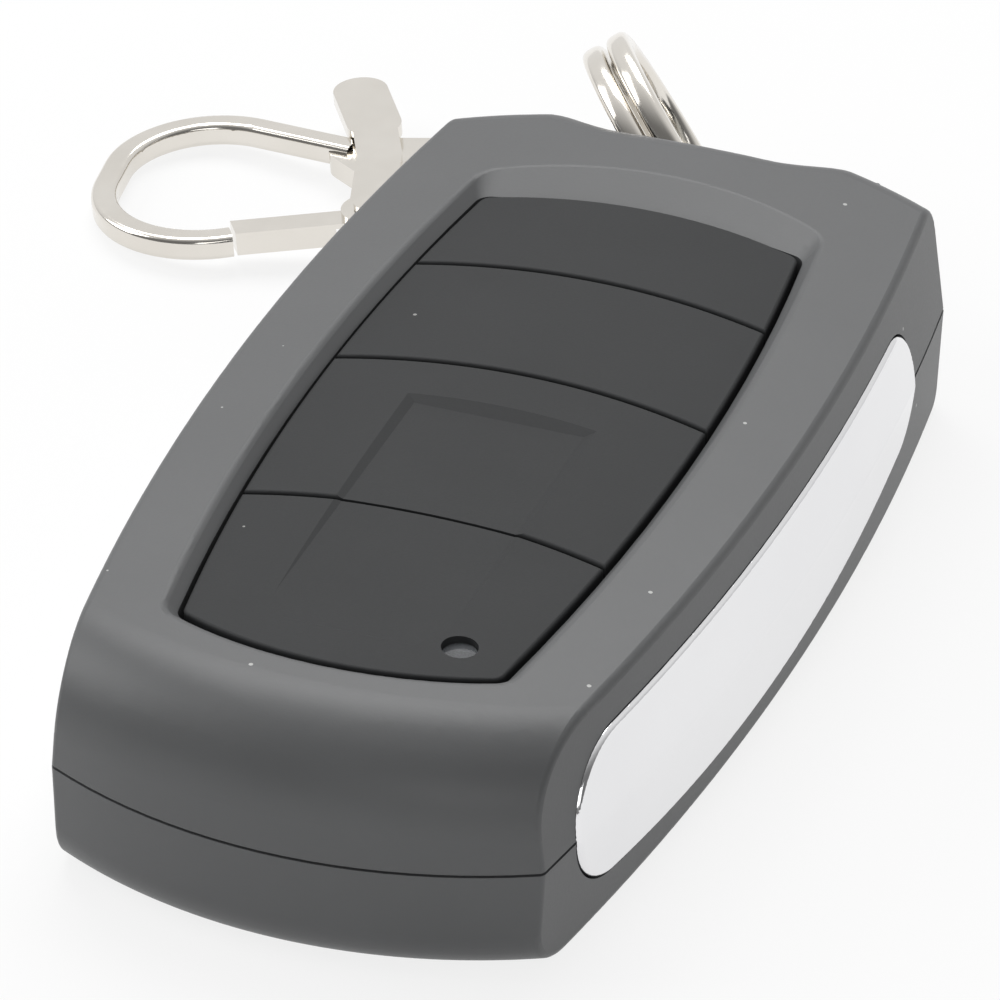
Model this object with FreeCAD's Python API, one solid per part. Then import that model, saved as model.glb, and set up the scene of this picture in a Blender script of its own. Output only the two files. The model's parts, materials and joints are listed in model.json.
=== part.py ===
import FreeCAD, Part
import math
import os

V = FreeCAD.Vector

# Gate remote control on a split ring with a trigger clasp. Sizes are millimetres.
# X is the width, +Y points to the key ring end, +Z is up. The origin is the middle of the underside.

# Outer form of the two case shells
body_length = 65.5
body_height = 14.0
seam_height = 6.2
crown_radius = 114.0
length_crown_radius = 1030.0
near_end_radius = 28.3
far_end_radius = 35.7
width_station = 28.0
seam_half_near = 13.4
seam_half_mid = 16.15
seam_half_far = 15.0
top_half_near = 12.7
top_half_mid = 15.35
top_half_far = 13.8
base_draft = 0.25
near_roll_radius = body_height / 2.8
far_roll_radius = 1.9
foot_near_radius = 2.6
foot_far_radius = 1.2
crease_radius = 0.45
seam_line_height = 0.16
seam_line_depth = 0.2

# Walls and the lip that keys the two shells together
side_wall = 1.9
end_wall = 1.6
far_wall = 5.2
floor_wall = 1.4
top_wall = 2.3
lip_thickness = 0.6
lip_height = 0.8
lip_clearance = 0.08

# Key window, its bevelled recess and the four keys
window_far_margin = 10.05
window_near_margin = 7.1
window_far_half = 9.3
window_mid_half = 10.6
window_near_half = 8.75
window_far_bow = 1.45
window_near_bow = 2.05
window_corner_radius = 1.0
recess_corner_radius = 2.2
recess_rim_radius = 0.5
key_edge_radius = 0.18
corner_least = 0.3
recess_depth = 0.95
recess_side_run = 0.85
recess_far_run = 2.7
recess_near_run = 0.8
key_count = 4
split_share_1 = 0.179
split_share_2 = 0.398
split_share_3 = 0.694
split_bow_radius = 44.0
key_drop = 0.55
key_gap = 0.25
split_gap = 0.22
key_stroke = 0.3
key_plate = 1.25
key_skirt = 1.1
key_flange = 0.7
key_flange_height = 0.7
key_flange_clearance = 0.12
key_post_diameter = 3.0
dip_near_margin = 3.25
dip_past_split = 4.35
dip_half_width = 4.7
dip_depth = 0.3
dip_run = 0.9

# Status light
light_x = 5.7
light_margin = 4.0
light_diameter = 1.8
light_sink = 0.35
light_flange_diameter = 2.4
light_flange_height = 0.6
fit_clearance = 0.05

# Side trims
trim_pocket_depth = 0.9
trim_proud = 0.22
trim_gap = 0.12
trim_near_margin = 10.75
trim_near_height = 6.55
trim_near_radius = 4.25
trim_far_margin = 14.8
trim_far_height = 6.9
trim_far_radius = 3.6
trim_belly = 1.75
trim_edge_radius = 0.35

# Key ring notch, its two ears and the pin
notch_depth = 2.0
notch_half_width = 6.6
notch_flank = 2.4
scoop_radius = 5.6
scoop_half_width = 6.4
pin_diameter = 2.0
pin_reach = 1.9
pin_height = 8.2
pin_end_sink = 0.1
ear_radius = 1.75
ear_thickness = 2.5
pin_clearance = 0.03

# Circuit board and what it carries
board_thickness = 1.0
board_clearance = 0.35
post_diameter = 2.4
post_x = 12.2
post_near_y = -12.0
post_far_y = 11.0
switch_size = 6.0
switch_height = 2.6
plunger_diameter = 3.4
plunger_height = 0.6
plunger_depth = 0.5
led_length = 1.6
led_width = 0.8
led_height = 0.8
chip_height = 1.4
chip_offset = 4.6
controller_length = 5.0
controller_width = 4.4
radio_size = 3.2
radio_from_split = 2.0
crystal_length = 3.2
crystal_width = 2.5
small_part_length = 1.6
small_part_width = 0.8
small_part_height = 0.6
small_part_step = 1.5
small_row_offset = 1.0
antenna_x = 8.2
antenna_clearance = 0.43
antenna_length = 8.2
antenna_strip = 0.8
antenna_height = 0.5
cell_diameter = 20.0
cell_height = 3.2
cell_y = -1.5
contact_diameter = 11.0
contact_height = 0.5
clip_width = 6.0
clip_thickness = 0.3
clip_clearance = 0.1

# Case screws
screw_diameter = 1.9
screw_length = 7.6
screw_head_diameter = 3.4
screw_head_height = 1.1
screw_sink = 0.5
screw_bore_clearance = 0.06
boss_diameter = 4.0
boss_clearance = 0.3
far_screw_x = 10.7
far_screw_from_end = 8.35
near_screw_from_end = 4.0

# Split ring: two turns of flat wire
ring_diameter = 15.0
ring_wire_radial = 1.4
ring_wire_axial = 1.1
ring_coil_gap = 0.45
ring_step_angle = 40.0
ring_step_start = 285.0
ring_yaw = 32.4
ring_tilt = 29.3
ring_x = -4.2
ring_past_pin = 3.4
ring_rest_gap = 0.15

# Clasp: eye, swivel barrel, hook and sprung gate. Its plan is measured from the eye's centre.
eye_seat_angle = 222.0
eye_offset = 0.5
eye_bore = 5.3
eye_wire = 1.15
eye_roll = 38.0
swivel_heading = 185.2
swivel_post_diameter = 1.5
swivel_post_gap = 1.0
barrel_diameter = 3.4
barrel_length = 7.0
barrel_front = 1.2
swivel_head_diameter = 2.3
swivel_head_height = 0.7
hook_width = 1.5
hook_thickness = 1.4
hook_edge_radius = 0.35
hook_start_x = -21.85
hook_start_y = -14.2
hook_start_heading = 210.6
hook_nose_run = 0.33
hook_front_radius = 6.1
hook_front_turn = 112.6
hook_end_run = 2.23
hook_back_radius = 5.45
hook_back_turn = 87.5
hook_spine_radius = 5.7
hook_spine_turn = 20.0
hook_spine_run = 6.4
hook_rest_gap = 0.05
base_thickness = 1.3
base_top = 0.3
base_reach = 1.45
gate_pivot_x = -14.7
gate_pivot_y = -10.45
gate_boss_diameter = 3.5
gate_pin_diameter = 1.2
gate_pin_head_diameter = 2.0
gate_pin_head_height = 0.35
gate_plate = 0.75
gate_bar_width = 1.6
gate_clearance = 0.1
bar_root_clearance = 0.8
gate_tip_gap = 0.2
gate_tip_slant = 34.0
thumb_x = -20.55
thumb_y = 2.8
thumb_radius = 1.6
bend_x = -18.3
bend_y = -0.8
waist_x = -16.6
waist_y = -4.3
waist_radius = 1.3
spring_wire = 0.22
spring_diameter = 2.1
spring_pitch = 0.64
spring_turns = 1

near_end = -body_length / 2
far_end = body_length / 2
window_far = far_end - window_far_margin
window_near = -near_end - window_near_margin
window_length = window_far + window_near
split_1 = window_far - split_share_1 * window_length
split_2 = window_far - split_share_2 * window_length
split_3 = window_far - split_share_3 * window_length
dip_near = dip_near_margin - window_near
dip_far = split_2 - dip_past_split
light_y = light_margin - window_near
trim_near_centre = near_end + trim_near_margin
trim_far_centre = far_end - trim_far_margin
pin_y = far_end + pin_reach
pin_z = pin_height
ring_y = pin_y + ring_past_pin
far_screw_y = far_end - far_screw_from_end
near_screw_y = near_end + near_screw_from_end
key_1_centre = window_far - split_share_1 * window_length / 2
antenna_far = key_1_centre + switch_size / 2 + antenna_clearance + antenna_strip
antenna_near = antenna_far - antenna_length
board_bottom = seam_height
board_top = board_bottom + board_thickness
plunger_top = board_top + switch_height + plunger_height
splits = [split_1, split_2, split_3]
block_half = 19.0
tall = 60.0

NODES = {}


def add(name, shape):
    """Keep one finished piece under its node name."""
    solids = shape.Solids
    NODES[name] = solids[0] if len(solids) == 1 else Part.makeCompound(solids)


def arc(a, b, c):
    return Part.Arc(a, b, c).toShape()


def line(a, b):
    return Part.LineSegment(a, b).toShape()


def face_of(edges):
    return Part.Face(Part.Wire(Part.__sortEdges__(edges)))


def slab(low, high, reach=tall):
    """A wide flat block between two heights."""
    return Part.makeBox(2 * reach, 2 * reach, high - low, V(-reach, -reach, low))


def box(x0, x1, y0, y1, z0, z1):
    return Part.makeBox(x1 - x0, y1 - y0, z1 - z0, V(x0, y0, z0))


def rod(x, y, z0, z1, diameter):
    return Part.makeCylinder(diameter / 2, z1 - z0, V(x, y, z0))


def prism(face, z0, z1):
    """Raise a flat face drawn at height zero into a solid between two heights."""
    lifted = face.copy()
    lifted.translate(V(0, 0, z0))
    return lifted.extrude(V(0, 0, z1 - z0))


def edges_where(shape, test):
    return [e for e in shape.Edges if test(e.CenterOfMass, e)]


def side_circle(near, mid, far):
    """Centre X, centre Y and radius of the circle through the three half widths."""
    s = width_station
    a1, b1, c1 = 2 * (mid - near), 2 * s, mid ** 2 - near ** 2 - s ** 2
    a2, b2, c2 = 2 * (mid - far), -2 * s, mid ** 2 - far ** 2 - s ** 2
    det = a1 * b2 - a2 * b1
    cx, cy = (c1 * b2 - c2 * b1) / det, (a1 * c2 - a2 * c1) / det
    return cx, cy, math.hypot(mid - cx, cy)


def half_width(widths, y):
    cx, cy, radius = side_circle(*widths)
    return cx + math.sqrt(radius ** 2 - (y - cy) ** 2)


def blend_widths(low, high, share):
    return [a + (b - a) * share for a, b in zip(low, high)]


def side_wire(widths, inset, z):
    """Barrel shaped outline at one height, longer than the body at both ends."""
    reach = body_length / 2 + 5
    right = [V(half_width(widths, y) - inset, y, z) for y in (-reach, 0, reach)]
    left = [V(-p.x, p.y, p.z) for p in right]
    return Part.Wire([arc(*right), line(right[2], left[2]), arc(*reversed(left)),
                      line(left[0], right[0])])


def side_block(inset):
    """Everything between the two leaning sides of the case, moved in by an inset."""
    seam = [seam_half_near, seam_half_mid, seam_half_far]
    top = [top_half_near, top_half_mid, top_half_far]
    foot = [w - base_draft for w in seam]
    over = 1.0
    below = blend_widths(seam, foot, 1 + over / seam_height)
    above = blend_widths(seam, top, 1 + over / (body_height - seam_height))
    wires = [side_wire(below, inset, -over), side_wire(seam, inset, seam_height),
             side_wire(above, inset, body_height + over)]
    return Part.makeLoft(wires, True, True)


def crown_solid(drop):
    """Solid whose top is the crowned surface, curved across and slightly along the case."""
    hub = V(0, 0, body_height - length_crown_radius)
    half = math.degrees(body_length / length_crown_radius)
    tube = Part.makeCircle(crown_radius - drop, V(0, 0, body_height - crown_radius), V(0, 1, 0))
    face = Part.Face(Part.Wire([tube]))
    face.rotate(hub, V(1, 0, 0), -half)
    return face.revolve(hub, V(1, 0, 0), 2 * half)


def far_arc_y(x, rf):
    return far_end - far_end_radius + math.sqrt(rf ** 2 - x ** 2)


def far_edges(rf, notched):
    """Edges of the far end in plan, with or without the soft hollow for the key ring."""
    h = block_half
    if not notched:
        return [arc(V(h, far_arc_y(h, rf), 0), V(0, far_arc_y(0, rf), 0), V(-h, far_arc_y(h, rf), 0))]
    inner, outer = notch_half_width - notch_flank, notch_half_width + notch_flank
    middle = (outer + h) / 2
    base, rim = far_end - notch_depth, far_arc_y(outer, rf)
    edges = [line(V(-inner, base, 0), V(inner, base, 0))]
    for side in (1, -1):
        start, stop = V(side * inner, base, 0), V(side * outer, rim, 0)
        wave = Part.BSplineCurve()
        wave.interpolate(Points=[start, stop], InitialTangent=V(side, 0, 0),
                         FinalTangent=V(side, -outer / (rim - far_end + far_end_radius), 0))
        edges.append(wave.toShape())
        edges.append(arc(stop, V(side * middle, far_arc_y(middle, rf), 0),
                         V(side * h, far_arc_y(h, rf), 0)))
    return edges


def end_block(near_inset, far_inset, floor, drop, near_roll, far_roll, near_foot, far_foot, notched):
    """Plan with two arched ends under the crowned top, with rolled ends."""
    yn = near_end + near_end_radius
    rn = near_end_radius - near_inset
    rf = far_end_radius - far_inset
    h = block_half
    near_y = yn - math.sqrt(rn ** 2 - h ** 2)
    far_y = far_arc_y(h, rf)
    plan = face_of([arc(V(-h, near_y, 0), V(0, yn - rn, 0), V(h, near_y, 0)),
                    line(V(h, near_y, 0), V(h, far_y, 0)),
                    line(V(-h, far_y, 0), V(-h, near_y, 0))] + far_edges(rf, notched))
    block = prism(plan, floor, body_height + 1).common(crown_solid(drop))
    middle = body_height / 2

    def rolled(shape, radius, test):
        return shape.makeFillet(radius, edges_where(shape, test)) if radius > 0 else shape

    def flat(e):
        return e.BoundBox.ZLength < near_roll_radius and e.BoundBox.XLength > e.BoundBox.YLength

    block = rolled(block, near_roll, lambda c, e: flat(e) and c.z > middle and c.y < 0)
    block = rolled(block, far_roll, lambda c, e: flat(e) and c.z > middle and c.y > 0)
    block = rolled(block, near_foot, lambda c, e: flat(e) and c.z < middle and c.y < 0)
    return rolled(block, far_foot, lambda c, e: flat(e) and c.z < middle and c.y > 0)


def outer_body():
    """The closed outside of the two shells, with every crease slightly rounded."""
    block = end_block(0, 0, 0, 0, near_roll_radius, far_roll_radius, foot_near_radius,
                      foot_far_radius, True)
    body = block.common(side_block(0))

    def crease(c, e):
        level = abs(c.z - seam_height) < 0.05 and e.BoundBox.ZLength < 0.05
        side_least = 0.7 * seam_half_near
        on_side = min(abs(v.Point.x) for v in e.Vertexes) > side_least
        return on_side and not level and c.x * e.Vertexes[0].Point.x > 0 and abs(c.x) > side_least

    return body.makeFillet(crease_radius, edges_where(body, crease))


def inner_space(wall, ends, far, floor, drop):
    """The outside moved inwards: the hollow of the case, or the line of its lip."""
    roll = max(near_roll_radius - ends, 0.5)
    return end_block(ends, far, floor, drop, roll, 0, 0, 0, False).common(side_block(wall))


def crown_at(x, y):
    """Height of the top surface above the underside at one place."""
    across = crown_radius - math.sqrt(crown_radius ** 2 - x ** 2)
    along = length_crown_radius - math.sqrt(length_crown_radius ** 2 - y ** 2)
    return body_height - across - along


def under_crown(solid, drop):
    """Keep only what lies under the crowned surface lowered by a drop."""
    return solid.common(crown_solid(drop))


def key_outline(side, far, near, z):
    """Four arcs round the keys: the window grown by a side, a far and a near margin."""
    xf, xm, xn = window_far_half + side, window_mid_half + side, window_near_half + side
    yf, yn = window_far - window_far_bow + far, -window_near + window_near_bow - near
    ym = (yf + yn) / 2
    return Part.Wire([arc(V(xn, yn, z), V(xm, ym, z), V(xf, yf, z)),
                      arc(V(xf, yf, z), V(0, window_far + far, z), V(-xf, yf, z)),
                      arc(V(-xf, yf, z), V(-xm, ym, z), V(-xn, yn, z)),
                      arc(V(-xn, yn, z), V(0, -window_near - near, z), V(xn, yn, z))])


def key_block(margin, z0, z1):
    """The outline of all four keys as a solid with rounded corners."""
    block = prism(Part.Face(key_outline(margin, margin, margin, 0)), z0, z1)
    upright = edges_where(block, lambda c, e: e.BoundBox.ZLength > 0.9 * (z1 - z0))
    return block.makeFillet(max(window_corner_radius + margin, corner_least), upright)


def rounded_outline(side, far, near, z, radius):
    """The window's outline grown by three margins, with round corners, at one height."""
    block = prism(Part.Face(key_outline(side, far, near, 0)), z, z + 1)
    upright = edges_where(block, lambda c, e: e.BoundBox.ZLength > 0.9)
    block = block.makeFillet(radius, upright)
    return [f for f in block.Faces if f.BoundBox.ZMax < z + 0.01][0].OuterWire


def recess_cut():
    """The bevel that leads from the crowned top down to the window."""
    rise = 0.2
    floor = body_height - key_drop - recess_depth + 0.2
    share = (body_height + rise - floor) / recess_depth
    top = rounded_outline(recess_side_run * share, recess_far_run * share, recess_near_run * share,
                          body_height + rise, recess_corner_radius)
    low = rounded_outline(0, 0, 0, floor, window_corner_radius)
    return Part.makeLoft([low, top], True, True)


def soft_recess(shell):
    """Cut the recess into the top and round the rim where its bevel starts."""
    cut = shell.cut(recess_cut())
    reach = window_far + recess_far_run + recess_rim_radius

    def rim(c, e):
        inside = all(math.hypot(v.X, v.Y) < reach and abs(v.X) < top_half_near for v in e.Vertexes)
        return inside and all(abs(v.Z - crown_at(v.X, v.Y)) < 0.02 for v in e.Vertexes)

    return cut.makeFillet(recess_rim_radius, edges_where(cut, rim))


def trim_outline(grow, x):
    """Long rounded outline of a side trim in the plane of one X."""
    yn, zn, rn = trim_near_centre, trim_near_height, trim_near_radius + grow
    yf, zf, rf = trim_far_centre, trim_far_height, trim_far_radius + grow
    near_top, near_low = V(x, yn, zn + rn), V(x, yn, zn - rn)
    far_top, far_low = V(x, yf, zf + rf), V(x, yf, zf - rf)
    belly = V(x, (yn + yf) / 2, trim_belly - grow)
    return Part.Wire([line(near_top, far_top), arc(far_top, V(x, yf + rf, zf), far_low),
                      arc(far_low, belly, near_low), arc(near_low, V(x, yn - rn, zn), near_top)])


def trim_prism(grow):
    inner = seam_half_near / 2
    return Part.Face(trim_outline(grow, inner)).extrude(V(seam_half_mid, 0, 0))


def side_x(y, z):
    """Half width of the case at one place on its leaning side."""
    seam = half_width([seam_half_near, seam_half_mid, seam_half_far], y)
    top = half_width([top_half_near, top_half_mid, top_half_far], y)
    if z < seam_height:
        return seam - base_draft * (seam_height - z) / seam_height
    return seam + (top - seam) * (z - seam_height) / (body_height - seam_height)


def trim_piece():
    """One side trim: it fills its pocket and stands slightly proud with a rounded rim."""
    trim = trim_prism(0).common(side_block(-trim_proud)).cut(side_block(trim_pocket_depth))

    def rim(c, e):
        along_seam = abs(c.z - seam_height) < 0.05 and e.BoundBox.ZLength < 0.5
        return c.x > side_x(c.y, c.z) - trim_pocket_depth / 2 and not along_seam

    return trim.makeFillet(trim_edge_radius, edges_where(trim, rim))


def mirrored(shape):
    return shape.mirror(V(0, 0, 0), V(1, 0, 0))


def ring_scoop():
    """Room in the far end that lets the split ring swing round its pin."""
    h = scoop_half_width
    return Part.makeCylinder(scoop_radius, 2 * h, V(-h, pin_y, pin_z), V(1, 0, 0))


def ears():
    """Two lugs outside the notch that hold the ends of the ring pin."""
    pieces = []
    for x in (scoop_half_width, -scoop_half_width - ear_thickness):
        lug = Part.makeCylinder(ear_radius, ear_thickness, V(x, pin_y, pin_z), V(1, 0, 0))
        root = box(x, x + ear_thickness, far_end - 3, pin_y, pin_z - ear_radius, pin_z + ear_radius)
        pieces.append(lug.fuse(root))
    return pieces


def pin_hole():
    """One hole right through both ears, so that the pin goes in from the side."""
    half = scoop_half_width + ear_thickness + 1
    radius = pin_diameter / 2 + pin_clearance
    return Part.makeCylinder(radius, 2 * half, V(-half, pin_y, pin_z), V(1, 0, 0))


def screw_places():
    return [(far_screw_x, far_screw_y), (-far_screw_x, far_screw_y), (0, near_screw_y)]


def case_shells(body):
    """Upper and lower shell, parted at the seam, with bosses, lip, window and notch."""
    notch = ring_scoop()
    outside = body.cut(notch)
    for lug in ears():
        outside = outside.fuse(lug)
    outside = outside.cut(pin_hole())
    hollow = inner_space(side_wall, end_wall, far_wall, floor_wall, top_wall)
    pocket = trim_prism(trim_gap).cut(side_block(trim_pocket_depth + fit_clearance))
    outside = outside.cut(hollow).cut(pocket).cut(mirrored(pocket))

    upper = outside.common(slab(seam_height, body_height + 2))
    lower = outside.common(slab(-1, seam_height))
    lip_top = seam_height + lip_height

    def wall_band(outer, inner, top):
        """Ring inside the wall between two distances from its inner face."""
        wide = inner_space(side_wall - outer, end_wall - outer, far_wall - outer, floor_wall, top_wall)
        core = inner_space(side_wall - inner, end_wall - inner, far_wall - inner, floor_wall, top_wall)
        return wide.cut(core).common(slab(seam_height - lip_height, top))

    rim = wall_band(lip_thickness, 0, lip_top)
    groove = wall_band(lip_thickness + lip_clearance, -lip_clearance, lip_top + lip_clearance)
    lower = lower.fuse(rim)

    line_low, depth = seam_height, seam_line_depth
    shadow = slab(line_low, line_low + seam_line_height).cut(inner_space(depth, depth, depth, 0, 0))
    upper = soft_recess(upper.cut(shadow)).cut(key_block(0, seam_height, body_height + 1))
    bore = screw_diameter + 2 * screw_bore_clearance
    head_room = screw_head_diameter + 2 * screw_bore_clearance
    head_top = screw_sink + screw_head_height
    tip = head_top + screw_length + screw_bore_clearance
    tubes, stems, bores, sinks = [], [], [], []
    for x, y in screw_places():
        tube = under_crown(rod(x, y, seam_height, body_height, boss_diameter), top_wall / 2)
        tubes.append(tube.common(body))
        stems.append(rod(x, y, floor_wall / 2, seam_height, boss_diameter).common(body))
        bores.append(rod(x, y, -1, tip, bore))
        sinks.append(rod(x, y, -1, head_top + screw_bore_clearance, head_room))
    for x, y in board_posts():
        stems.append(rod(x, y, floor_wall / 2, board_bottom, post_diameter))
    upper = upper.fuse(tubes).cut(bores + [groove])
    lower = lower.fuse(stems).cut(bores).cut(sinks)
    return upper, lower


def board_posts():
    return [(s * post_x, y) for s in (-1, 1) for y in (post_near_y, post_far_y)]


def split_arc(y, half, z):
    """One bowed parting line between two keys, reaching past the window on both sides."""
    r = split_bow_radius
    drop = r - math.sqrt(r ** 2 - half ** 2)
    return arc(V(-half, y - drop, z), V(0, y, z), V(half, y - drop, z))


def key_band(index, gap):
    """The share of the window's length that one key takes, counted from the ring end."""
    half = window_mid_half + 4
    far_y = splits[index - 1] - gap / 2 if index > 0 else None
    near_y = splits[index] + gap / 2 if index < key_count - 1 else None
    top = split_arc(far_y, half, 0) if far_y is not None else line(
        V(-half, body_length, 0), V(half, body_length, 0))
    low = split_arc(near_y, half, 0) if near_y is not None else line(
        V(-half, -body_length, 0), V(half, -body_length, 0))
    ends_top = [v.Point for v in top.Vertexes]
    ends_low = [v.Point for v in low.Vertexes]
    plan = face_of([top, low, line(ends_top[0], ends_low[0]), line(ends_top[1], ends_low[1])])
    return prism(plan, 0, body_height + 2)


def key_centres():
    """Middle of each key along Y, where its post and switch stand."""
    marks = [window_far] + splits + [-window_near]
    return [(a + b) / 2 for a, b in zip(marks, marks[1:])]


def thumb_dip():
    """Shallow tray across the two near keys, as a solid to cut away."""
    deep = body_height - key_drop - dip_depth
    rise = dip_depth + 0.3

    def ring(grow, z):
        x, y0, y1 = dip_half_width + grow, dip_near - grow, dip_far + grow
        points = [V(-x, y0, z), V(x, y0, z), V(x, y1, z), V(-x, y1, z), V(-x, y0, z)]
        return Part.makePolygon(points)

    return Part.makeLoft([ring(0, deep), ring(dip_run * rise / dip_depth, deep + rise)], True, True)


def keys():
    """Four hard keys: crowned plate, skirt, retaining flange and a post over each switch."""
    rim_low = crown_at(window_near_half + key_flange, window_near + key_flange) - top_wall
    flange_top = rim_low - key_flange_clearance
    flange_low = flange_top - key_flange_height

    def on_top(c, e):
        return all(abs(v.Z + key_drop - crown_at(v.X, v.Y)) < key_gap / 5 for v in e.Vertexes)

    cap = under_crown(key_block(-key_gap, flange_low, body_height + 1), key_drop)
    cap = cap.fuse(key_block(key_flange, flange_low, flange_top))
    plate_low = body_height - key_drop - key_plate
    for index, centre in enumerate(key_centres()):
        key = cap.common(key_band(index, split_gap))
        key = key.makeFillet(key_edge_radius, edges_where(key, on_top))
        room = under_crown(key_block(-key_gap - key_skirt, flange_low - 1, plate_low),
                           key_drop + key_plate)
        room = room.common(key_band(index, split_gap + 2 * key_skirt))
        post = rod(0, centre, plunger_top + fit_clearance, plate_low, key_post_diameter)
        key = key.cut(room).fuse(post)
        if index >= key_count - 2:
            key = key.cut(thumb_dip())
        if index == key_count - 1:
            key = key.cut(rod(light_x, light_y, board_top, body_height,
                              light_diameter + 2 * fit_clearance))
        add(f"button_{index + 1}", key.removeSplitter())


def inner_parts():
    """Circuit board, switches, light, chips, cell and its contacts."""
    edge = board_clearance
    board = inner_space(side_wall + edge, end_wall + edge, far_wall + edge, floor_wall, top_wall)
    board = board.common(slab(board_bottom, board_top))
    notch = boss_diameter / 2 + boss_clearance
    low, high = board_bottom - 1, board_top + 1
    for side in (-1, 1):
        xs = sorted([side * (far_screw_x - notch), side * body_length])
        board = board.cut(box(xs[0], xs[1], far_screw_y, body_length, low, high))
        xs = sorted([side * far_screw_x, side * body_length])
        board = board.cut(box(xs[0], xs[1], far_screw_y - notch, body_length, low, high))
    board = board.cut(box(-notch, notch, -body_length, near_screw_y, low, high))
    board = board.cut([rod(x, y, low, high, 2 * notch) for x, y in screw_places()])
    add("circuit_board", board)

    half = switch_size / 2
    switch_top = board_top + switch_height
    for index, y in enumerate(key_centres()):
        body = box(-half, half, y - half, y + half, board_top, switch_top)
        body = body.makeChamfer(half / 8, edges_where(body, lambda c, e: e.BoundBox.ZLength > 1))
        well = plunger_depth + key_stroke + fit_clearance
        body = body.cut(rod(0, y, switch_top - well, switch_top + 1,
                            plunger_diameter + 2 * fit_clearance))
        add(f"switch_body_{index + 1}", body)
        add(f"switch_plunger_{index + 1}", rod(0, y, switch_top - plunger_depth, plunger_top,
                                               plunger_diameter))

    lx, ly = led_length / 2, led_width / 2
    add("status_led", box(light_x - lx, light_x + lx, light_y - ly, light_y + ly, board_top,
                          board_top + led_height))
    pipe_top = crown_at(light_x, light_y) - key_drop - light_sink
    rim = light_flange_diameter / 2
    flange_top = crown_at(light_x + rim, light_y - rim) - key_drop - key_plate - fit_clearance
    pipe = rod(light_x, light_y, board_top + led_height + key_stroke + fit_clearance, pipe_top,
               light_diameter)
    flange = rod(light_x, light_y, flange_top - light_flange_height, flange_top,
                 light_flange_diameter)
    add("light_pipe", pipe.fuse(flange))

    def chip(x, y, length, width, height):
        return box(x - length / 2, x + length / 2, y - width / 2, y + width / 2, board_top,
                   board_top + height)

    chip_x = switch_size / 2 + chip_offset
    add("microcontroller_chip", chip(chip_x, split_2, controller_length, controller_width,
                                     chip_height))
    add("radio_chip", chip(-chip_x, split_1 - radio_from_split, radio_size, radio_size,
                           chip_height * 0.65))
    add("crystal", chip(-chip_x, split_2, crystal_length, crystal_width, chip_height * 0.6))
    small = []
    rows = (-chip_x - small_row_offset, chip_x + small_row_offset, chip_x - 1.6 * small_row_offset)
    for step in range(4):
        for x in rows:
            small.append(chip(x, split_3 - small_part_step * step, small_part_length,
                              small_part_width, small_part_height))
    add("chip_parts", Part.makeCompound(small))
    loop_x, loop_far, loop_near, strip = antenna_x, antenna_far, antenna_near, antenna_strip
    loop = box(-loop_x, loop_x, loop_near, loop_far, board_top, board_top + antenna_height)
    add("antenna", loop.cut(box(strip - loop_x, loop_x - strip, loop_near - 1, loop_far - strip,
                                low, high)))

    contact_low = board_bottom - contact_height
    cell_top = contact_low - clip_clearance
    cell_low = cell_top - cell_height
    cell = rod(0, cell_y, cell_low, cell_top, cell_diameter)
    add("coin_cell", cell.makeFillet(cell_height / 8, [cell.Edges[0], cell.Edges[2]]))
    add("battery_contact", rod(0, cell_y, contact_low, board_bottom, contact_diameter))
    reach = cell_diameter / 2 + clip_clearance
    strap_low = cell_low - clip_clearance - clip_thickness
    w = clip_width / 2
    t = clip_thickness
    outer = box(-reach - t, reach + t, cell_y - w, cell_y + w, strap_low, board_bottom)
    inner = box(-reach, reach, cell_y - w - 1, cell_y + w + 1, strap_low + t, board_bottom + 1)
    add("battery_clip", outer.cut(inner))


def screws():
    """Three pan head screws that come up from the underside."""
    pieces = []
    for x, y in screw_places():
        head_top = screw_sink + screw_head_height
        head = rod(x, y, screw_sink, head_top, screw_head_diameter)
        shank = rod(x, y, head_top, head_top + screw_length, screw_diameter)
        arm, cut = screw_head_diameter * 0.32, screw_head_diameter * 0.08
        cross = box(x - arm, x + arm, y - cut, y + cut, 0, screw_sink + screw_head_height / 2)
        cross = cross.fuse(box(x - cut, x + cut, y - arm, y + arm, 0,
                               screw_sink + screw_head_height / 2))
        pieces.append(head.fuse(shank).cut(cross))
    add("case_screws", Part.makeCompound(pieces))


def ring_frame():
    """Centre of the split ring and its three directions: two in its plane, then its axis."""
    yaw, tilt = math.radians(ring_yaw), math.radians(ring_tilt)
    axis = V(math.cos(yaw) * math.cos(tilt), math.sin(yaw) * math.cos(tilt), math.sin(tilt))
    flat = V(math.sin(yaw), -math.cos(yaw), 0)
    up = flat.cross(axis)
    width = 2 * ring_wire_axial + ring_coil_gap
    height = ring_diameter / 2 * math.cos(tilt) + width / 2 * math.sin(tilt)
    return V(ring_x, ring_y, ring_rest_gap + height), flat, up, axis


def ring_point(angle, radius, offset=0.0):
    centre, flat, up, axis = ring_frame()
    turn = math.radians(angle)
    return centre + flat * (radius * math.cos(turn)) + up * (radius * math.sin(turn)) + axis * offset


def ring_section(angle, offset):
    """The wire's flat section where the ring has turned by an angle, moved along its axis."""
    r0, r1 = ring_diameter / 2 - ring_wire_radial, ring_diameter / 2
    w, c = ring_wire_axial / 2, ring_wire_axial * 0.22
    corners = [(r0 + c, -w), (r1 - c, -w), (r1, c - w), (r1, w - c), (r1 - c, w), (r0 + c, w),
               (r0, w - c), (r0, c - w)]
    points = [ring_point(angle, r, offset + z) for r, z in corners]
    return Part.makePolygon(points + points[:1])


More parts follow.
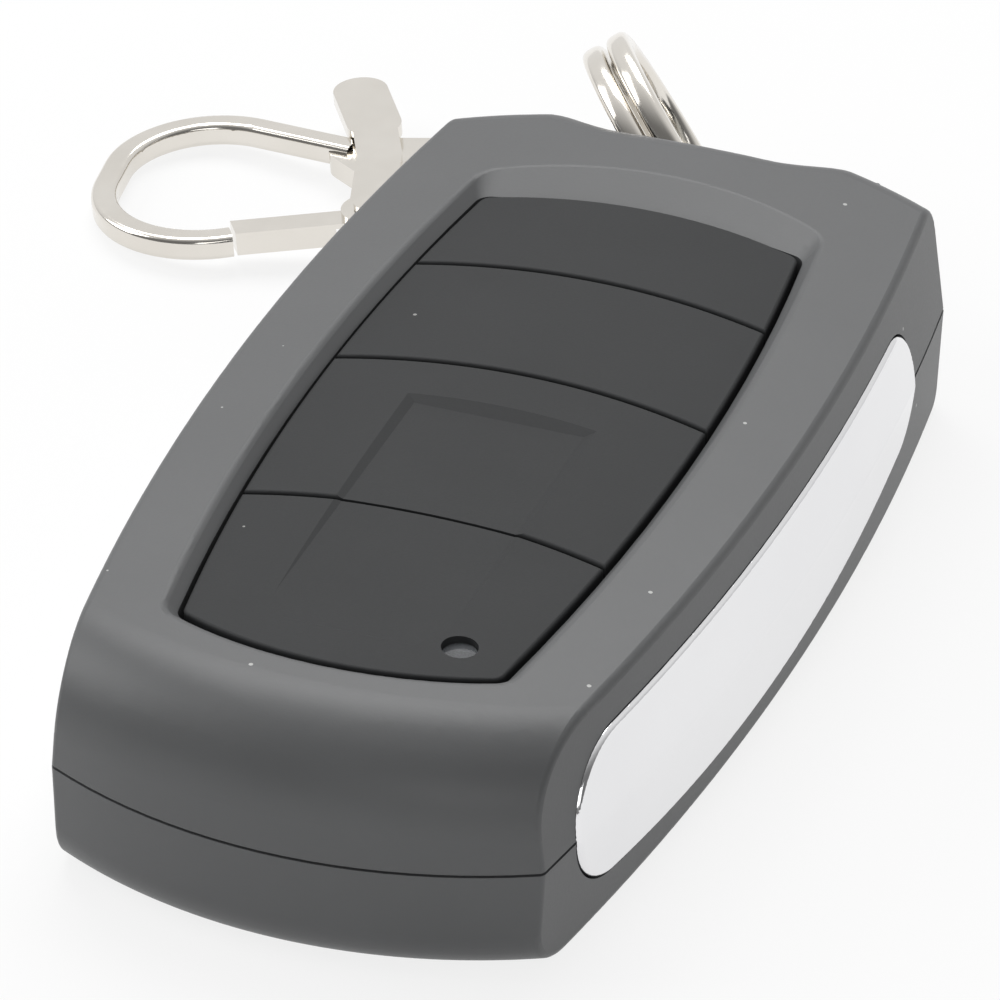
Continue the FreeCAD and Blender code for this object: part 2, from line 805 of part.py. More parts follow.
def split_ring():
    """Two full turns of one flat wire: a coil, a sloping step beside its ends, a second coil."""
    centre, flat, up, axis = ring_frame()
    lift = (ring_wire_axial + ring_coil_gap) / 2
    first = ring_step_start
    sweep = 360 - ring_step_angle
    coils = []
    for side in (-1, 1):
        section = Part.Face(ring_section(first + ring_step_angle, side * lift))
        coils.append(section.revolve(centre, flat.cross(up), sweep))
    steps = 8
    sections = []
    for k in range(steps + 1):
        share = k / steps
        ease = share * share * (3 - 2 * share)
        sections.append(ring_section(first + share * ring_step_angle, lift * (2 * ease - 1)))
    step = Part.makeLoft(sections, True, True)
    return coils[0].fuse([step, coils[1]])


def ring_self_gap():
    """Least gap between the two turns, measured between points along the wire's middle."""
    lift = (ring_wire_axial + ring_coil_gap) / 2
    radius = (ring_diameter - ring_wire_radial) / 2
    angles = range(int(ring_step_start + ring_step_angle), int(ring_step_start + 360), 3)
    one = [ring_point(a, radius, -lift) for a in angles]
    two = [ring_point(a, radius, lift) for a in angles]
    return min(p.distanceToPoint(q) for p in one for q in two) - ring_wire_axial


def eye_centre():
    """Middle of the clasp's eye, pulled off the wire of the ring towards the clasp."""
    seat = ring_point(eye_seat_angle, (ring_diameter - ring_wire_radial) / 2)
    turn = math.radians(swivel_heading)
    return seat + V(math.cos(turn), math.sin(turn), 0) * eye_offset


def hook_path():
    """Centre line of the hook as straight runs and arcs: start, heading and the list of pieces."""
    x, y, heading = hook_start_x, hook_start_y, hook_start_heading
    moves = [(0, hook_nose_run), (hook_front_radius, hook_front_turn), (0, hook_end_run),
             (hook_back_radius, hook_back_turn), (hook_spine_radius, hook_spine_turn),
             (0, hook_spine_run)]
    pieces = []
    for radius, amount in moves:
        pieces.append((x, y, heading, radius, amount))
        turn = math.radians(heading)
        if radius == 0:
            x += amount * math.cos(turn)
            y += amount * math.sin(turn)
        else:
            after = math.radians(heading - amount)
            x += radius * (math.sin(turn) - math.sin(after))
            y += radius * (math.cos(after) - math.cos(turn))
            heading -= amount
    return pieces, (x, y, heading)


def hook_left():
    """How far the loop reaches from the eye, along the clasp's plan."""
    pieces, _ = hook_path()
    reach = [x - radius * (1 - math.sin(math.radians(heading)))
             for x, y, heading, radius, amount in pieces if heading > 90]
    return -min(reach) + hook_width / 2


def place_clasp(shape):
    """From the clasp's own plan to its place: eye on the ring, loop on the table."""
    centre = eye_centre()
    drop = centre.z - hook_thickness / 2 - hook_rest_gap
    pitch = math.degrees(math.asin(drop / hook_left()))
    turned = FreeCAD.Placement(centre, FreeCAD.Rotation(V(0, 1, 0), -pitch))
    placed = shape.copy()
    placed.Placement = turned.multiply(placed.Placement)
    return placed


def bar_section(width, low, high, edge):
    """Rounded rectangle across a bar, in the plane of X and Z, centred on X."""
    w = width / 2
    block = box(-w, w, 0, 1, low, high)
    block = block.makeFillet(edge, edges_where(block, lambda c, e: e.BoundBox.YLength > 0.5))
    return [f for f in block.Faces if abs(f.CenterOfMass.y) < 1e-6][0]


def hook_bar():
    """The hook's bar swept along its path, one solid for each run and arc, then joined."""
    half = hook_thickness / 2
    section = bar_section(hook_width, -half, half, hook_edge_radius)
    solids = []
    for x, y, heading, radius, amount in hook_path()[0]:
        face = section.copy()
        face.rotate(V(0, 0, 0), V(0, 0, 1), heading - 90)
        face.translate(V(x, y, 0))
        turn = math.radians(heading)
        if radius == 0:
            solids.append(face.extrude(V(math.cos(turn), math.sin(turn), 0) * amount))
        else:
            hub = V(x + radius * math.sin(turn), y - radius * math.cos(turn), 0)
            solids.append(face.revolve(hub, V(0, 0, -1), amount))
    return solids[0].fuse(solids[1:])


def stadium(ax, ay, bx, by, radius, low, high):
    """Flat bar with round ends between two points."""
    length = math.hypot(bx - ax, by - ay)
    bar = box(0, length, -radius, radius, low, high)
    bar = bar.fuse([rod(0, 0, low, high, 2 * radius), rod(length, 0, low, high, 2 * radius)])
    bar.rotate(V(0, 0, 0), V(0, 0, 1), math.degrees(math.atan2(by - ay, bx - ax)))
    bar.translate(V(ax, ay, 0))
    return bar


def swivel_direction():
    turn = math.radians(swivel_heading)
    return V(math.cos(turn), math.sin(turn), 0)


def barrel_start():
    return eye_bore / 2 + eye_wire + swivel_post_gap


def swivel_eye():
    """Wire eye with its post; the post's head turns inside the barrel of the hook."""
    way = swivel_direction()
    middle = (eye_bore + eye_wire) / 2
    normal = FreeCAD.Rotation(way, eye_roll).multVec(V(0, 0, 1))
    eye = Part.makeTorus(middle, eye_wire / 2, V(0, 0, 0), normal)
    start = barrel_start()
    head = start + barrel_front + fit_clearance
    post = Part.makeCylinder(swivel_post_diameter / 2, head - middle + 0.1, way * middle, way)
    knob = Part.makeCylinder(swivel_head_diameter / 2, swivel_head_height, way * head, way)
    return eye.fuse([post, knob])


def clasp_hook():
    """Hook, base plate under the gate, and the barrel that the eye's post turns in."""
    low, high = base_top - base_thickness, base_top
    px, py = gate_pivot_x, gate_pivot_y
    _, (ex, ey, _) = hook_path()
    way = swivel_direction()
    end = way * (barrel_start() + barrel_length)
    plate = stadium(ex, ey, waist_x, waist_y, base_reach, low, high)
    plate = plate.fuse([stadium(waist_x, waist_y, px, py, base_reach, low, high),
                        stadium(end.x, end.y, ex, ey, base_reach, low, high)])
    barrel = Part.makeCylinder(barrel_diameter / 2, barrel_length, way * barrel_start(), way)
    start = barrel_start()
    hole = Part.makeCylinder(swivel_post_diameter / 2 + fit_clearance, barrel_front + 1,
                             way * (start - 0.5), way)
    cavity = Part.makeCylinder(swivel_head_diameter / 2 + fit_clearance,
                               swivel_head_height + 2 * fit_clearance,
                               way * (start + barrel_front), way)
    hook = hook_bar().fuse([plate, barrel]).cut([hole, cavity])
    pin = rod(px, py, low - 1, high + 1, gate_pin_diameter + 2 * pin_clearance)
    well = rod(px, py, high - spring_room(), high + 0.01, spring_diameter + 2 * spring_wire)
    return hook.cut([pin, well, gate_sweep()])


def spring_room():
    return spring_turns * spring_pitch + spring_wire + fit_clearance


def tip_wedge(grow):
    """Half space past the slanted line where the gate meets the nose of the hook."""
    wide = 2 * block_half
    wedge = Part.makeBox(wide, 2 * wide, wide, V(-wide - grow, -wide, -wide / 2))
    wedge.rotate(V(0, 0, 0), V(0, 0, 1), gate_tip_slant)
    wedge.translate(V(hook_start_x, hook_start_y, 0))
    return wedge


def gate_shape(grow):
    """Outline of the lever: thumb tab, bend, waist, pivot and the closing bar."""
    low, high = base_top + gate_clearance - grow, base_top + gate_clearance + gate_plate + grow
    px, py = gate_pivot_x, gate_pivot_y
    tab = stadium(thumb_x, thumb_y, bend_x, bend_y, thumb_radius + grow, low, high)
    neck = stadium(bend_x, bend_y, waist_x, waist_y, waist_radius + grow, low, high)
    arm = stadium(waist_x, waist_y, px, py, waist_radius + grow, low, high)
    hub = rod(px, py, low, high, gate_boss_diameter + 2 * grow)
    half = hook_thickness / 2 + grow
    reach = base_reach + bar_root_clearance - grow
    bar = stadium(px, py, hook_start_x - 1, hook_start_y, gate_bar_width / 2 + grow, -half, half)
    bar = bar.cut(rod(px, py, -half - 1, low, 2 * reach))
    return tab.fuse([neck, arm, hub, bar])


def gate_sweep():
    """Room that the lever needs beside the end of the hook's spine."""
    return gate_shape(gate_clearance).cut(tip_wedge(0))


def gate_lever():
    lever = gate_shape(0).cut(tip_wedge(-gate_tip_gap))
    hole = rod(gate_pivot_x, gate_pivot_y, -5, 5, gate_pin_diameter + 2 * pin_clearance)
    return lever.cut(hole)


def gate_pin():
    low = base_top - base_thickness
    high = base_top + gate_clearance + gate_plate + fit_clearance
    px, py = gate_pivot_x, gate_pivot_y
    pin = rod(px, py, low - gate_pin_head_height, high + gate_pin_head_height, gate_pin_diameter)
    return pin.fuse([rod(px, py, low - gate_pin_head_height, low, gate_pin_head_diameter),
                     rod(px, py, high, high + gate_pin_head_height, gate_pin_head_diameter)])


def gate_spring():
    """Return spring: a small coil round the gate's pin, on arcs of a quarter turn."""
    radius = spring_diameter / 2
    bottom = base_top - spring_room() + spring_wire / 2 + fit_clearance / 2
    quarters = 4 * spring_turns

    def spot(q):
        turn = math.pi / 2 * q
        return V(radius * math.cos(turn), radius * math.sin(turn), spring_pitch * q / 4)

    path = Part.Wire([arc(spot(q), spot(q + 0.5), spot(q + 1)) for q in range(quarters)])
    circle = Part.Wire([Part.makeCircle(spring_wire / 2, V(radius, 0, 0), V(0, 1, 0))])
    coil = path.makePipeShell([circle], True, False)
    coil.translate(V(gate_pivot_x, gate_pivot_y, bottom))
    return coil


def build():
    body = outer_body()
    upper, lower = case_shells(body)
    add("upper_case", upper)
    add("lower_case", lower)
    trim = trim_piece()
    add("side_trim_right", trim)
    add("side_trim_left", mirrored(trim))
    keys()
    inner_parts()
    screws()
    reach = scoop_half_width + ear_thickness - pin_end_sink
    add("ring_pin", Part.makeCylinder(pin_diameter / 2, 2 * reach, V(-reach, pin_y, pin_z),
                                      V(1, 0, 0)))
    add("split_ring", split_ring())
    print("least gap between the turns of the split ring", round(ring_self_gap(), 3))
    print("least gap between the turns of the gate spring", round(spring_pitch - spring_wire, 3))
    for name, piece in (("swivel_eye", swivel_eye), ("clasp_hook", clasp_hook),
                        ("gate_lever", gate_lever), ("gate_pin", gate_pin),
                        ("gate_spring", gate_spring)):
        add(name, place_clasp(piece()))


def export():
    os.makedirs("parts", exist_ok=True)
    for name, shape in NODES.items():
        shape.exportStep(f"parts/{name}.step")
        print(name, len(shape.Solids), "solid", shape.isValid(), round(shape.Volume, 2))


build()
export()
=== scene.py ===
import json
import math

import bmesh
import bpy
import numpy as np
from mathutils import Matrix, Vector


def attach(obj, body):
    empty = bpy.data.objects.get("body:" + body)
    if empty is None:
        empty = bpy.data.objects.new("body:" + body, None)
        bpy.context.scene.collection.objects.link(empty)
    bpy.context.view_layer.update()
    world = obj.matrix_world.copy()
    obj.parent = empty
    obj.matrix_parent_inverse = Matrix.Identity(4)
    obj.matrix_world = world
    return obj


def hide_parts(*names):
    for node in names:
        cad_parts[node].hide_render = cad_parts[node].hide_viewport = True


mm = 0.001  # the CAD frame is in metres

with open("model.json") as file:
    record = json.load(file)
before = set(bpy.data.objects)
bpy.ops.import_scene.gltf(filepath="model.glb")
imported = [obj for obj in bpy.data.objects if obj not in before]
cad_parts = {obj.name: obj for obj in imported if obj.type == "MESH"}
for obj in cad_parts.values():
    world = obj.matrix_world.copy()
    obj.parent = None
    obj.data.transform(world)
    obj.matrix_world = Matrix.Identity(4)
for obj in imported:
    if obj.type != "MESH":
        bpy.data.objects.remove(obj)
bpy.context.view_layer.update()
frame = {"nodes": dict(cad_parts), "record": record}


def linearColour(hexText):  # sRGB hex to linear RGBA
    parts = np.array([int(hexText[i:i + 2], 16) for i in (1, 3, 5)]) / 255
    linear = np.where(parts <= 0.04045, parts / 12.92, ((parts + 0.055) / 1.055) ** 2.4)
    return (*linear.tolist(), 1.0)


def perMetre(sizeMm):  # texture scale whose cells are this many millimetres
    return 1000.0 / sizeMm


def addNode(tree, kind, settings=None, links=None):
    node = tree.nodes.new(kind)
    for name, value in (settings or {}).items():
        if isinstance(name, int) or name in node.inputs:
            node.inputs[name].default_value = value
        else:
            setattr(node, name, value)
    for name, source in (links or {}).items():
        tree.links.new(source, node.inputs[name])
    return node


def newMaterial(name):
    material = bpy.data.materials.new(name)
    material.use_nodes = True
    material.node_tree.nodes.clear()
    return material, material.node_tree


# camera: the photograph's angle, a long lens from 42 centimetres
cameraSetup = dict(azimuth=20.125, elevation=32.166, roll=-0.67, distance=0.42198,  # degrees, metres
                   lens=287.3, sensor=36.0, clip=(0.01, 20), aim=(-0.001313, 0.003041, 0.005633))


def placeCamera(setup):
    a, e, roll = (math.radians(setup[k]) for k in ("azimuth", "elevation", "roll"))
    level = Vector((math.cos(a), math.sin(a), 0))
    down = Vector((math.sin(e) * math.sin(a), -math.sin(e) * math.cos(a), -math.cos(e)))
    ahead = Vector((-math.sin(a) * math.cos(e), math.cos(a) * math.cos(e), -math.sin(e)))
    right = math.cos(roll) * level + math.sin(roll) * down
    low = -math.sin(roll) * level + math.cos(roll) * down
    data = bpy.data.cameras.new("photoCamera")
    data.lens, data.sensor_width = setup["lens"], setup["sensor"]
    data.clip_start, data.clip_end = setup["clip"]
    camera = bpy.data.objects.new("photoCamera", data)
    bpy.context.scene.collection.objects.link(camera)
    turn = Matrix((right, -low, -ahead)).transposed()
    place = Vector(setup["aim"]) - setup["distance"] * ahead
    camera.matrix_world = Matrix.Translation(place) @ turn.to_4x4()
    bpy.context.scene.camera = camera


placeCamera(cameraSetup)
print("camera placed")

# studio: white paper sweep, a large soft box overhead, one on the left and a weak one in front
lampRig = [
    dict(name="overheadBox", place=(-0.20, 0.45, 0.75), size=(0.70, 0.55), power=5.4),
    dict(name="leftBox", place=(-0.75, -0.10, 0.45), size=(0.50, 0.50), power=2.8),
    dict(name="frontBox", place=(0.35, -0.85, 0.35), size=(0.60, 0.40), power=1.3),
]
studioSetup = dict(floorColour="#f2f2f2", floorShare=0.82, floorHalf=3.0,
                   skyColour="#ffffff", skyStrength=0.36,
                   tentWay=(-0.20, 0.75, 0.63), tentDark=0.22, tentBright=1.05,  # what metal mirrors
                   tentFrom=-0.15, tentTo=0.8, lamps=lampRig)


def seenByEye(tree):  # 1 for rays from the camera, in mirrors and through clear plastic
    rays = addNode(tree, "ShaderNodeLightPath")
    either = addNode(tree, "ShaderNodeMath", {"operation": "MAXIMUM"},
                     {0: rays.outputs["Is Camera Ray"], 1: rays.outputs["Is Glossy Ray"]})
    return addNode(tree, "ShaderNodeMath", {"operation": "MAXIMUM"},
                   {0: either.outputs[0], 1: rays.outputs["Is Transmission Ray"]}).outputs[0]


def buildStudio(setup):
    half = setup["floorHalf"]
    mesh = bpy.data.meshes.new("studioFloor")
    mesh.from_pydata([(-half, -half, 0), (half, -half, 0), (half, half, 0), (-half, half, 0)],
                     [], [(0, 1, 2, 3)])
    floor = bpy.data.objects.new("studioFloor", mesh)
    bpy.context.scene.collection.objects.link(floor)
    material, tree = newMaterial("whitePaperSweep")
    diffuse = addNode(tree, "ShaderNodeBsdfDiffuse", {"Color": linearColour(setup["floorColour"])})
    glow = addNode(tree, "ShaderNodeEmission", {"Strength": 1.0})
    share = addNode(tree, "ShaderNodeMath", {"operation": "MULTIPLY", 1: setup["floorShare"]},
                    {0: seenByEye(tree)})
    mix = addNode(tree, "ShaderNodeMixShader", None,
                  {0: share.outputs[0], 1: diffuse.outputs[0], 2: glow.outputs[0]})
    addNode(tree, "ShaderNodeOutputMaterial", None, {"Surface": mix.outputs[0]})
    mesh.materials.append(material)

    world = bpy.data.worlds.new("studioSky")
    bpy.context.scene.world = world
    world.use_nodes = True
    sky = world.node_tree
    sky.nodes.clear()
    rays = addNode(sky, "ShaderNodeLightPath")
    light = addNode(sky, "ShaderNodeBackground", {"Color": linearColour(setup["skyColour"]),
                                                  "Strength": setup["skyStrength"]})
    plain = addNode(sky, "ShaderNodeBackground", {"Strength": 1.0})
    way = addNode(sky, "ShaderNodeTexCoord").outputs["Generated"]
    facing = addNode(sky, "ShaderNodeVectorMath", {"operation": "DOT_PRODUCT", 1: setup["tentWay"]},
                     {0: way})
    level = addNode(sky, "ShaderNodeMapRange", {"interpolation_type": "SMOOTHSTEP",
                                                "From Min": setup["tentFrom"],
                                                "From Max": setup["tentTo"],
                                                "To Min": setup["tentDark"],
                                                "To Max": setup["tentBright"]},
                    {"Value": facing.outputs["Value"]})
    tent = addNode(sky, "ShaderNodeBackground", None, {"Strength": level.outputs[0]})
    mirrored = addNode(sky, "ShaderNodeMixShader", None,
                       {0: rays.outputs["Is Glossy Ray"], 1: light.outputs[0], 2: tent.outputs[0]})
    seen = addNode(sky, "ShaderNodeMixShader", None,
                   {0: rays.outputs["Is Camera Ray"], 1: mirrored.outputs[0], 2: plain.outputs[0]})
    addNode(sky, "ShaderNodeOutputWorld", None, {"Surface": seen.outputs[0]})

    for lamp in setup["lamps"]:
        data = bpy.data.lights.new(lamp["name"], "AREA")
        data.shape = "RECTANGLE"
        data.size, data.size_y = lamp["size"]
        data.energy = lamp["power"]
        box = bpy.data.objects.new(lamp["name"], data)
        box.location = lamp["place"]
        box.rotation_euler = (-Vector(lamp["place"])).to_track_quat("-Z", "Y").to_euler()
        bpy.context.scene.collection.objects.link(box)


buildStudio(studioSetup)
bpy.context.scene.view_settings.view_transform = "Standard"
print("studio lit")


plasticGrain = dict(cloudDetail=3.0, grainDetail=4.0, grainRough=0.6, plainShine=0.5)


# moulded plastic, board and chip: slow clouds of tone, a fine matt grain and a few dust specks
def mouldedPlastic(name, look):
    material, tree = newMaterial(name)
    place = addNode(tree, "ShaderNodeTexCoord").outputs["Object"]
    cloud = addNode(tree, "ShaderNodeTexNoise", {"Scale": perMetre(look["cloudMm"]),
                                                 "Detail": plasticGrain["cloudDetail"]},
                    {"Vector": place})
    grain = addNode(tree, "ShaderNodeTexNoise", {"Scale": perMetre(look["grainMm"]),
                                                 "Detail": plasticGrain["grainDetail"],
                                                 "Roughness": plasticGrain["grainRough"]},
                    {"Vector": place})
    tone = addNode(tree, "ShaderNodeMix", {"data_type": "RGBA", 6: linearColour(look["dark"]),
                                           7: linearColour(look["light"])},
                   {0: cloud.outputs["Fac"]})
    specks = addNode(tree, "ShaderNodeTexVoronoi", {"Scale": perMetre(look["dustStepMm"])},
                     {"Vector": place})
    near = addNode(tree, "ShaderNodeMath", {"operation": "LESS_THAN", 1: look["dustSize"]},
                   {0: specks.outputs["Distance"]})
    few = addNode(tree, "ShaderNodeSeparateColor", None, {"Color": specks.outputs["Color"]})
    chosen = addNode(tree, "ShaderNodeMath", {"operation": "GREATER_THAN", 1: 1 - look["dustShare"]},
                     {0: few.outputs["Red"]})
    dust = addNode(tree, "ShaderNodeMath", {"operation": "MULTIPLY"},
                   {0: near.outputs[0], 1: chosen.outputs[0]})
    dusty = addNode(tree, "ShaderNodeMix", {"data_type": "RGBA", 7: linearColour(look["dust"])},
                    {0: dust.outputs[0], 6: tone.outputs[2]})
    rough = addNode(tree, "ShaderNodeMapRange", {"To Min": look["roughness"] - look["roughSpread"],
                                                 "To Max": look["roughness"] + look["roughSpread"]},
                    {"Value": grain.outputs["Fac"]})
    bump = addNode(tree, "ShaderNodeBump", {"Strength": look["bump"], "Distance": look["bumpMm"] * mm},
                   {"Height": grain.outputs["Fac"]})
    shader = addNode(tree, "ShaderNodeBsdfPrincipled",
                     {"IOR": look["ior"],
                      "Specular IOR Level": look.get("shine", plasticGrain["plainShine"])},
                     {"Base Color": dusty.outputs[2], "Roughness": rough.outputs[0],
                      "Normal": bump.outputs[0]})
    addNode(tree, "ShaderNodeOutputMaterial", None, {"Surface": shader.outputs[0]})
    return material


metalGrain = dict(cloudDetail=2.0, markDetail=3.0, smoothest=0.6, roughest=1.5)


# metals: bright plating with faint waves, and rolled or turned steel with marks along one way
def platedMetal(name, look):
    material, tree = newMaterial(name)
    place = addNode(tree, "ShaderNodeTexCoord").outputs["Object"]
    cloud = addNode(tree, "ShaderNodeTexNoise", {"Scale": perMetre(look["cloudMm"]),
                                                 "Detail": metalGrain["cloudDetail"]},
                    {"Vector": place})
    stretch = addNode(tree, "ShaderNodeMapping", {"Scale": look["stretch"]}, {"Vector": place})
    marks = addNode(tree, "ShaderNodeTexNoise", {"Scale": perMetre(look["markMm"]),
                                                 "Detail": metalGrain["markDetail"]},
                    {"Vector": stretch.outputs[0]})
    tone = addNode(tree, "ShaderNodeMix", {"data_type": "RGBA", 6: linearColour(look["dark"]),
                                           7: linearColour(look["light"])},
                   {0: cloud.outputs["Fac"]})
    rough = addNode(tree, "ShaderNodeMapRange",
                    {"To Min": look["roughness"] * metalGrain["smoothest"],
                     "To Max": look["roughness"] * metalGrain["roughest"]},
                    {"Value": marks.outputs["Fac"]})
    bump = addNode(tree, "ShaderNodeBump", {"Strength": look["bump"], "Distance": look["bumpMm"] * mm},
                   {"Height": marks.outputs["Fac"]})
    shader = addNode(tree, "ShaderNodeBsdfPrincipled", {"Metallic": 1.0},
                     {"Base Color": tone.outputs[2], "Roughness": rough.outputs[0],
                      "Normal": bump.outputs[0]})
    addNode(tree, "ShaderNodeOutputMaterial", None, {"Surface": shader.outputs[0]})
    return material


# shell: ABS from a spark-eroded mould, a soft sheen; keys: a duller, darker grain with no highlight;
# switches: filled black and plain pale nylon; board: green mask on laminate; small parts: fired ceramic
plasticLooks = dict(
    satinShellPlastic=dict(dark="#545556", light="#5c5d5e", cloudMm=9.0, grainMm=0.16, bump=0.25,
                           bumpMm=0.02, roughness=0.42, roughSpread=0.06, ior=1.53, shine=0.35,
                           dust="#b9b9b7", dustStepMm=2.6, dustSize=0.045, dustShare=0.35),
    matteKeyPlastic=dict(dark="#2b2c2d", light="#323334", cloudMm=7.0, grainMm=0.12, bump=0.3,
                         bumpMm=0.02, roughness=0.6, roughSpread=0.06, ior=1.53, shine=0.18,
                         dust="#9a9a98", dustStepMm=2.6, dustSize=0.04, dustShare=0.3),
    blackSwitchPlastic=dict(dark="#161616", light="#222222", cloudMm=2.0, grainMm=0.2, bump=0.2,
                            bumpMm=0.02, roughness=0.5, roughSpread=0.08, ior=1.57, dust="#333333",
                            dustStepMm=2.0, dustSize=0.03, dustShare=0.2),
    paleSwitchPlastic=dict(dark="#b2b0a8", light="#c3c1ba", cloudMm=1.5, grainMm=0.2, bump=0.15,
                           bumpMm=0.02, roughness=0.45, roughSpread=0.05, ior=1.5, dust="#d0d0cc",
                           dustStepMm=2.0, dustSize=0.03, dustShare=0.2),
    greenBoardLaminate=dict(dark="#1f5a34", light="#2b6f41", cloudMm=3.0, grainMm=0.35, bump=0.2,
                            bumpMm=0.03, roughness=0.35, roughSpread=0.08, ior=1.5, dust="#4f8d60",
                            dustStepMm=1.5, dustSize=0.06, dustShare=0.3),
    firedChipCeramic=dict(dark="#94805f", light="#b29b78", cloudMm=0.8, grainMm=0.15, bump=0.2,
                          bumpMm=0.02, roughness=0.55, roughSpread=0.08, ior=1.6, dust="#c9b99b",
                          dustStepMm=1.0, dustSize=0.03, dustShare=0.2),
)
# trim: chromed ABS, a clear mirror; clasp and ring: nickel plate, warmer and slightly hazy;
# pins, screws and contacts: zinc or tin on steel, satin; cell: brushed can; antenna: gilded copper
metalLooks = dict(
    chromedTrimPlastic=dict(dark="#e4e4e6", light="#eeeeef", cloudMm=12.0, markMm=4.0, bump=0.05,
                            bumpMm=0.02, roughness=0.10, stretch=(1, 1, 1)),
    polishedNickelPlate=dict(dark="#dcd7cf", light="#ebe7e0", cloudMm=5.0, markMm=0.9, bump=0.06,
                             bumpMm=0.02, roughness=0.13, stretch=(1, 1, 1)),
    zincPlatedSteel=dict(dark="#b9b9b6", light="#cfcfcb", cloudMm=2.0, markMm=0.3, bump=0.2,
                         bumpMm=0.02, roughness=0.28, stretch=(1, 1, 6)),
    brushedCellSteel=dict(dark="#b4b4b2", light="#cbcbc8", cloudMm=4.0, markMm=0.25, bump=0.25,
                          bumpMm=0.02, roughness=0.32, stretch=(1, 14, 14)),
    tinnedContactSteel=dict(dark="#c3c1bb", light="#d4d2cc", cloudMm=3.0, markMm=0.4, bump=0.2,
                            bumpMm=0.02, roughness=0.26, stretch=(1, 5, 5)),
    goldFlashCopper=dict(dark="#c49a4e", light="#dcb568", cloudMm=2.0, markMm=0.4, bump=0.2,
                         bumpMm=0.02, roughness=0.3, stretch=(1, 1, 1)),
)
lensLook = dict(colour="#c9cdd2", ior=1.58, clear=0.85, roughness=0.08, smoothest=0.5, roughest=1.6,
                rippleMm=0.6, rippleDetail=2.0, bump=0.2, bumpMm=0.02)


def clearLens(name, look):  # polycarbonate light guide with a faint flow ripple
    material, tree = newMaterial(name)
    place = addNode(tree, "ShaderNodeTexCoord").outputs["Object"]
    flow = addNode(tree, "ShaderNodeTexNoise", {"Scale": perMetre(look["rippleMm"]),
                                                "Detail": look["rippleDetail"]}, {"Vector": place})
    bump = addNode(tree, "ShaderNodeBump", {"Strength": look["bump"], "Distance": look["bumpMm"] * mm},
                   {"Height": flow.outputs["Fac"]})
    rough = addNode(tree, "ShaderNodeMapRange", {"To Min": look["roughness"] * look["smoothest"],
                                                 "To Max": look["roughness"] * look["roughest"]},
                    {"Value": flow.outputs["Fac"]})
    shader = addNode(tree, "ShaderNodeBsdfPrincipled",
                     {"Base Color": linearColour(look["colour"]), "IOR": look["ior"],
                      "Transmission Weight": look["clear"]},
                     {"Roughness": rough.outputs[0], "Normal": bump.outputs[0]})
    addNode(tree, "ShaderNodeOutputMaterial", None, {"Surface": shader.outputs[0]})
    return material


materials = {name: mouldedPlastic(name, look) for name, look in plasticLooks.items()}
materials.update({name: platedMetal(name, look) for name, look in metalLooks.items()})
materials["clearLensPlastic"] = clearLens("clearLensPlastic", lensLook)

slotFinish = dict(case_plastic="satinShellPlastic", key_plastic="matteKeyPlastic",
                  polished_trim="chromedTrimPlastic", board_laminate="greenBoardLaminate",
                  switch_plastic="blackSwitchPlastic", plunger_plastic="paleSwitchPlastic",
                  clear_resin="clearLensPlastic", chip_ceramic="firedChipCeramic",
                  copper_track="goldFlashCopper", cell_steel="brushedCellSteel",
                  plated_steel="tinnedContactSteel", screw_steel="zincPlatedSteel",
                  nickel_plate="polishedNickelPlate")

# split ring: one rounded wire wound twice round, with a sloping step between the turns
ringSetup = dict(outer=7.5, radial=1.4, axial=1.34, lift=0.775,  # millimetres; lift is half the pitch
                 stepFrom=285.0, stepTurn=40.0, yaw=32.4, tilt=29.3,  # degrees
                 centre=(-4.2, 38.05), restGap=0.15, cadAxial=1.1, squareness=3.0,
                 turnSteps=320, stepSteps=40, around=32,
                 endShare=0.006)  # share of the wire that each rounded end takes


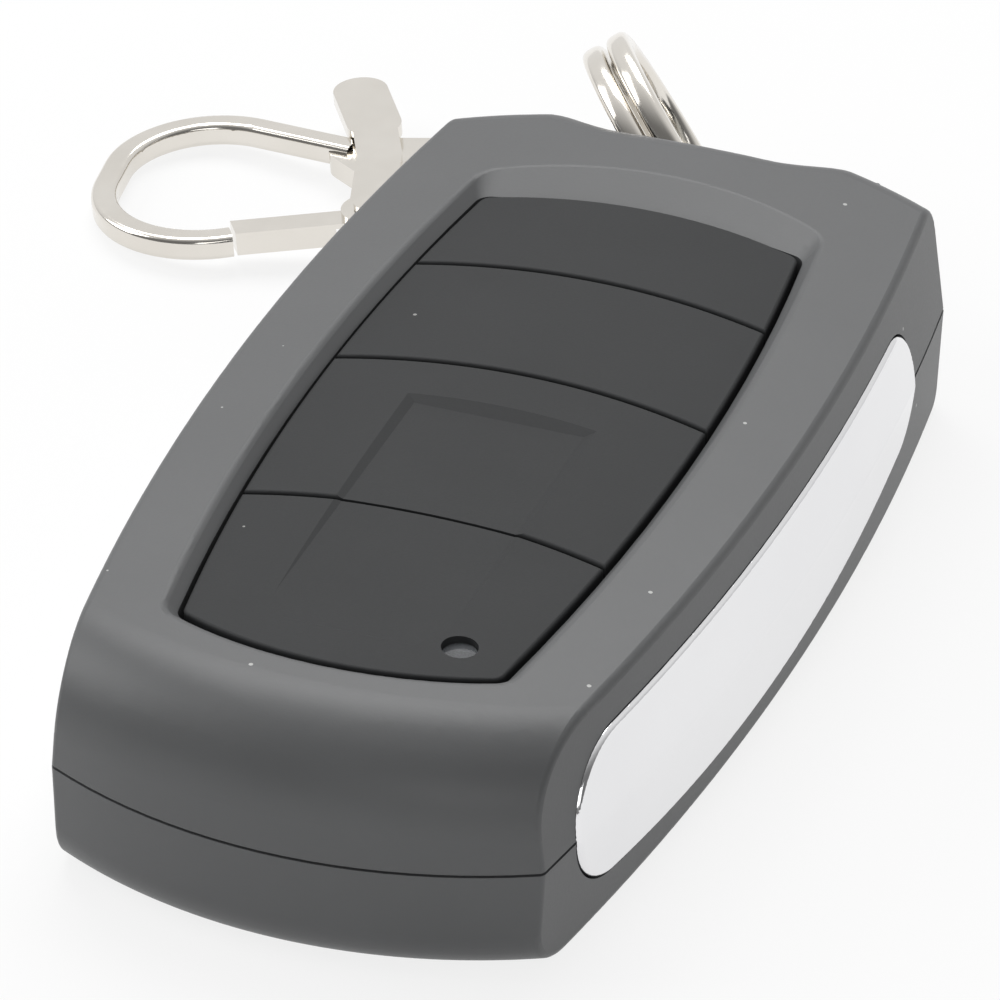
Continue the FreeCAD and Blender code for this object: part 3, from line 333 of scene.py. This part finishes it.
def ringMesh(s):
    # point = centre + radius (cos angle flat + sin angle up) + depth axis, where radius and depth
    # follow a superellipse round the wire and depth climbs by one pitch over the step
    yaw, tilt = math.radians(s["yaw"]), math.radians(s["tilt"])
    axis = np.array([math.cos(yaw) * math.cos(tilt), math.sin(yaw) * math.cos(tilt), math.sin(tilt)])
    flat = np.array([math.sin(yaw), -math.cos(yaw), 0.0])
    up = np.cross(flat, axis)
    height = s["outer"] * math.cos(tilt) + (s["cadAxial"] / 2 + s["lift"]) * math.sin(tilt)
    centre = np.array([*s["centre"], s["restGap"] + height])
    first, fullTurn = s["stepFrom"] + s["stepTurn"], 360
    lower = np.linspace(first - fullTurn, s["stepFrom"], s["turnSteps"])
    share = np.linspace(0, 1, s["stepSteps"] + 2)[1:-1]
    upper = np.linspace(first, first + fullTurn - s["stepTurn"], s["turnSteps"])
    angle = np.radians(np.concatenate([lower, s["stepFrom"] + share * s["stepTurn"], upper]))
    rise = s["lift"] * (2 * share * share * (3 - 2 * share) - 1)
    z = np.concatenate([np.full(len(lower), -s["lift"]), rise, np.full(len(upper), s["lift"])])
    t = np.linspace(0, 2 * math.pi, s["around"], endpoint=False)
    power = 2 / s["squareness"]
    du = np.sign(np.cos(t)) * np.abs(np.cos(t)) ** power * s["radial"] / 2
    dz = np.sign(np.sin(t)) * np.abs(np.sin(t)) ** power * s["axial"] / 2
    along = np.linspace(0, 1, len(angle))
    size = np.sqrt(np.clip(np.minimum(along, 1 - along) / s["endShare"], 0, 1))
    radius = s["outer"] - s["radial"] / 2 + np.outer(size, du)
    depth = z[:, None] + np.outer(size, dz)
    return (centre + radius[..., None] * (np.cos(angle)[:, None, None] * flat
                                          + np.sin(angle)[:, None, None] * up)
            + depth[..., None] * axis)


# closed tube from a grid of points, rows along the wire and columns round it; each end row is one point
def sweptPiece(name, points, finish, body, nodeName):
    mergeMm = 0.001
    rows, around = points.shape[:2]
    a = np.arange(rows - 1)[:, None] * around + np.arange(around)
    b = np.arange(rows - 1)[:, None] * around + (np.arange(around) + 1) % around
    faces = np.stack([a, b, b + around, a + around], axis=-1).reshape(-1, 4)
    mesh = bpy.data.meshes.new(name)
    mesh.from_pydata((points.reshape(-1, 3) * mm).tolist(), [], faces.tolist())
    solid = bmesh.new()
    solid.from_mesh(mesh)
    bmesh.ops.remove_doubles(solid, verts=solid.verts, dist=mergeMm * mm)
    bmesh.ops.recalc_face_normals(solid, faces=solid.faces)
    solid.to_mesh(mesh)
    solid.free()
    mesh.polygons.foreach_set("use_smooth", np.ones(len(mesh.polygons), dtype=bool))
    mesh.materials.append(materials[finish])
    piece = bpy.data.objects.new(name, mesh)
    bpy.context.scene.collection.objects.link(piece)
    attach(piece, body)
    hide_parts(nodeName)
    return piece


ringPiece = sweptPiece("wound_ring", ringMesh(ringSetup), "polishedNickelPlate", "ring", "split_ring")
print("ring wound:", len(ringPiece.data.polygons), "faces")

slotOf = {part["node"]: part["material_slot"] for part in frame["record"]["subparts"]}
for nodeName, node in frame["nodes"].items():
    finish = materials[slotFinish[slotOf[nodeName]]]
    node.data.materials.clear()
    node.data.materials.append(finish)
print("materials:", len(materials))
